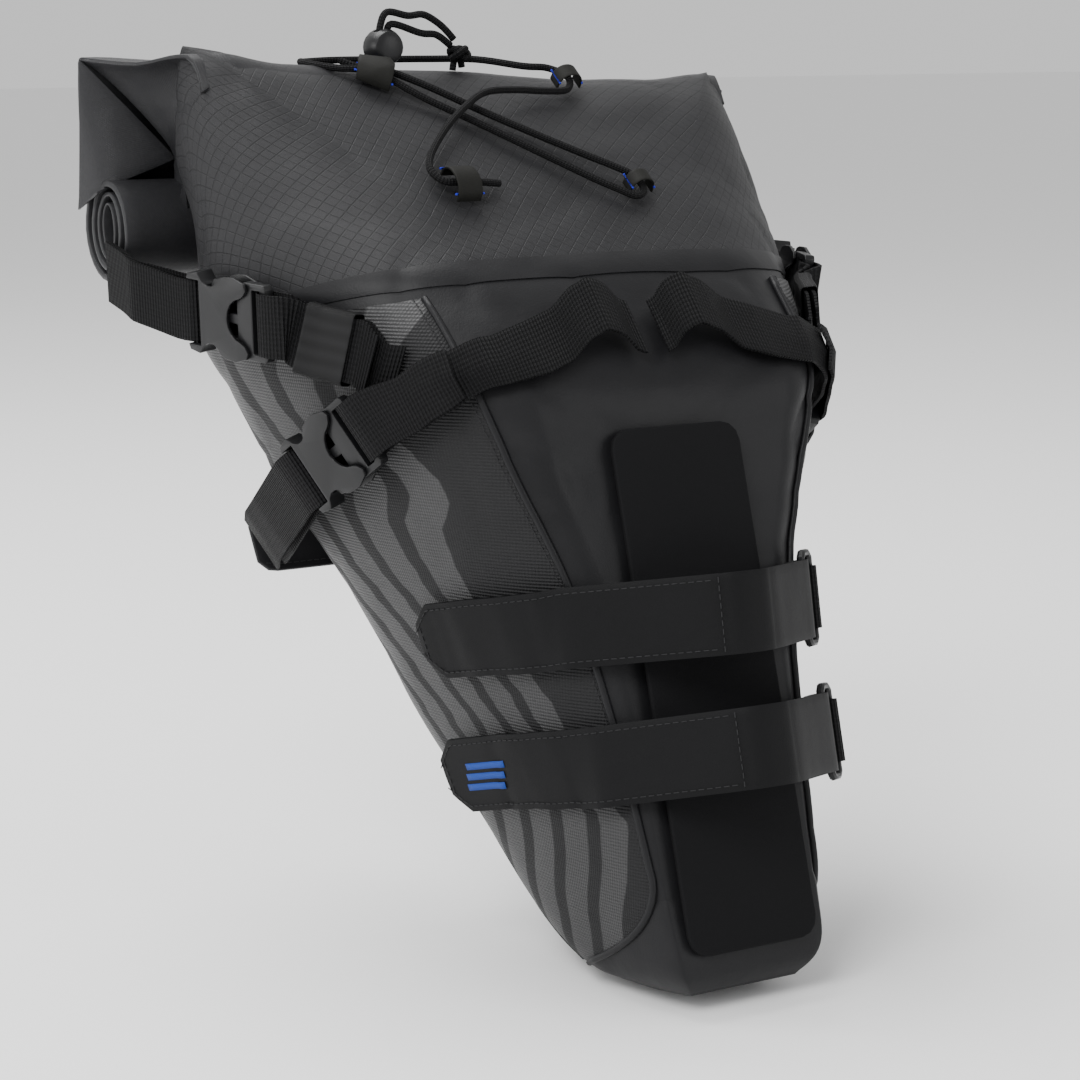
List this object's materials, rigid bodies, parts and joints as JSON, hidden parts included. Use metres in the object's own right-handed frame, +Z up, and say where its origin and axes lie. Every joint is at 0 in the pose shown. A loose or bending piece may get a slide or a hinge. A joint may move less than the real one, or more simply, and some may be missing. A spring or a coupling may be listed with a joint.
{
  "type": "saddle bag",
  "caption": "Tapered roll-top seat pack that straps round a seatpost and over saddle rails, closed by side-release buckles, with a shock-cord lashing.",
  "frame": {"origin": "centre of the spine pad's front face, which rests on the back of the seatpost, on the middle plane", "axes": "+X to the bicycle's left, +Y rearwards, +Z up"},
  "size_m": [0.326, 0.2877, 0.3789],
  "materials": {
    "shell": "satin coated ripstop, charcoal",
    "side": "woven side fabric with a pale wavy figure",
    "rubber": "matt black rubberised strap",
    "webbing": "black ribbed nylon webbing",
    "buckle": "moulded acetal, satin dark grey",
    "cord": "braided black cord",
    "plate": "dark moulded sheet"
  },
  "bodies": {
    "bag": {"main_bag": "shell", "nose_boot": "rubber", "side_panel_right": "side", "side_panel_left": "side", "spine_pad": "rubber", "spine_stiffener": "plate", "closure_roll": "shell", "closure_strip": "plate", "anchor_wing": "rubber", "cord_tab_rear_right": "rubber", "cord_tab_front_right": "rubber", "cord_tab_rear_left": "rubber", "cord_tab_front_left": "rubber", "shock_cord": "cord", "pull_loop": "cord", "pull_knot": "cord", "cord_lock_body": "buckle", "upper_strap_base": "webbing", "upper_ring_tab": "webbing", "lower_strap_base": "webbing", "lower_ring_tab": "webbing", "compression_plug_right": "buckle", "compression_webbing_right": "webbing", "webbing_keeper_right": "webbing", "roll_end_webbing_right": "webbing", "rail_plug_right": "buckle", "rail_webbing_right": "webbing", "anchor_webbing_right": "webbing", "compression_plug_left": "buckle", "compression_webbing_left": "webbing", "webbing_keeper_left": "webbing", "roll_end_webbing_left": "webbing", "rail_plug_left": "buckle", "rail_webbing_left": "webbing", "anchor_webbing_left": "webbing"},
    "upper_ring_body": {"upper_ring": "buckle"},
    "upper_tail_body": {"upper_strap_tail": "rubber"},
    "lower_ring_body": {"lower_ring": "buckle"},
    "lower_tail_body": {"lower_strap_tail": "rubber"},
    "compression_socket_body_right": {"compression_socket_right": "buckle"},
    "compression_prong_upper_right": {"compression_plug_right_prong_upper": "buckle"},
    "compression_prong_lower_right": {"compression_plug_right_prong_lower": "buckle"},
    "rail_socket_body_right": {"rail_socket_right": "buckle"},
    "rail_prong_upper_right": {"rail_plug_right_prong_upper": "buckle"},
    "rail_prong_lower_right": {"rail_plug_right_prong_lower": "buckle"},
    "compression_socket_body_left": {"compression_socket_left": "buckle"},
    "compression_prong_upper_left": {"compression_plug_left_prong_upper": "buckle"},
    "compression_prong_lower_left": {"compression_plug_left_prong_lower": "buckle"},
    "rail_socket_body_left": {"rail_socket_left": "buckle"},
    "rail_prong_upper_left": {"rail_plug_left_prong_upper": "buckle"},
    "rail_prong_lower_left": {"rail_plug_left_prong_lower": "buckle"},
    "lock_button": {"cord_lock_button": "buckle"}
  },
  "joints": [
    {"name": "compression_socket_slide_right", "type": "slide", "parent": "bag", "child": "compression_socket_body_right", "axis": [-0.2845, 0.9552, 0.0813], "range_m": [0, 0.014], "deforming": ["roll_end_webbing_right"]},
    {"name": "compression_prong_upper_hinge_right", "type": "hinge", "parent": "bag", "child": "compression_prong_upper_right", "pos_m": [-0.13525, 0.13327, 0.14702], "axis": [-0.9553, -0.2755, -0.1069], "range_deg": [0, 7], "stiffness_Nm_per_rad": 0.02},
    {"name": "compression_prong_lower_hinge_right", "type": "hinge", "parent": "bag", "child": "compression_prong_lower_right", "pos_m": [-0.1338, 0.13523, 0.12899], "axis": [0.9553, 0.2755, 0.1069], "range_deg": [0, 7], "stiffness_Nm_per_rad": 0.02},
    {"name": "rail_socket_slide_right", "type": "slide", "parent": "bag", "child": "rail_socket_body_right", "axis": [-0.1452, 0.8296, -0.5392], "range_m": [0, 0.014], "deforming": ["anchor_webbing_right"]},
    {"name": "rail_prong_upper_hinge_right", "type": "hinge", "parent": "bag", "child": "rail_prong_upper_right", "pos_m": [-0.11421, 0.10034, 0.09674], "axis": [-0.9201, -0.3136, -0.2348], "range_deg": [0, 7], "stiffness_Nm_per_rad": 0.02},
    {"name": "rail_prong_lower_hinge_right", "type": "hinge", "parent": "bag", "child": "rail_prong_lower_right", "pos_m": [-0.10759, 0.09193, 0.08202], "axis": [0.9201, 0.3136, 0.2348], "range_deg": [0, 7], "stiffness_Nm_per_rad": 0.02},
    {"name": "compression_socket_slide_left", "type": "slide", "parent": "bag", "child": "compression_socket_body_left", "axis": [0.2845, 0.9552, 0.0813], "range_m": [0, 0.014], "deforming": ["roll_end_webbing_left"]},
    {"name": "compression_prong_upper_hinge_left", "type": "hinge", "parent": "bag", "child": "compression_prong_upper_left", "pos_m": [0.13525, 0.13327, 0.14702], "axis": [-0.9553, 0.2755, 0.1069], "range_deg": [0, 7], "stiffness_Nm_per_rad": 0.02},
    {"name": "compression_prong_lower_hinge_left", "type": "hinge", "parent": "bag", "child": "compression_prong_lower_left", "pos_m": [0.1338, 0.13523, 0.12899], "axis": [0.9553, -0.2755, -0.1069], "range_deg": [0, 7], "stiffness_Nm_per_rad": 0.02},
    {"name": "rail_socket_slide_left", "type": "slide", "parent": "bag", "child": "rail_socket_body_left", "axis": [0.1452, 0.8296, -0.5392], "range_m": [0, 0.014], "deforming": ["anchor_webbing_left"]},
    {"name": "rail_prong_upper_hinge_left", "type": "hinge", "parent": "bag", "child": "rail_prong_upper_left", "pos_m": [0.11421, 0.10034, 0.09674], "axis": [-0.9201, 0.3136, 0.2348], "range_deg": [0, 7], "stiffness_Nm_per_rad": 0.02},
    {"name": "rail_prong_lower_hinge_left", "type": "hinge", "parent": "bag", "child": "rail_prong_lower_left", "pos_m": [0.10759, 0.09193, 0.08202], "axis": [0.9201, -0.3136, -0.2348], "range_deg": [0, 7], "stiffness_Nm_per_rad": 0.02},
    {"name": "cord_lock_button_push", "type": "slide", "parent": "bag", "child": "lock_button", "axis": [0, 1, 0], "range_m": [0, 0.0025], "stiffness_N_per_m": 400},
    {"name": "upper_ring_swing", "type": "hinge", "parent": "bag", "child": "upper_ring_body", "pos_m": [0.0575, 0.01574, 0.02563], "axis": [0, 0.1822, 0.9833], "range_deg": [0, 20]},
    {"name": "upper_strap_peel", "type": "hinge", "parent": "upper_ring_body", "child": "upper_tail_body", "pos_m": [0.05, 0.01034, 0.02663], "axis": [0, 0.1822, 0.9833], "range_deg": [0, 100]},
    {"name": "lower_ring_swing", "type": "hinge", "parent": "bag", "child": "lower_ring_body", "pos_m": [0.0575, 0.00057, -0.02601], "axis": [0, 0.2504, 0.9681], "range_deg": [0, 20]},
    {"name": "lower_strap_peel", "type": "hinge", "parent": "lower_ring_body", "child": "lower_tail_body", "pos_m": [0.05, -0.00475, -0.02463], "axis": [0, 0.2504, 0.9681], "range_deg": [0, 100]}
  ],
  "couplings": [
    {"joint": "compression_prong_lower_hinge_right", "follows": "compression_prong_upper_hinge_right", "ratio": 1},
    {"joint": "rail_prong_lower_hinge_right", "follows": "rail_prong_upper_hinge_right", "ratio": 1},
    {"joint": "compression_prong_lower_hinge_left", "follows": "compression_prong_upper_hinge_left", "ratio": 1},
    {"joint": "rail_prong_lower_hinge_left", "follows": "rail_prong_upper_hinge_left", "ratio": 1}
  ]
}
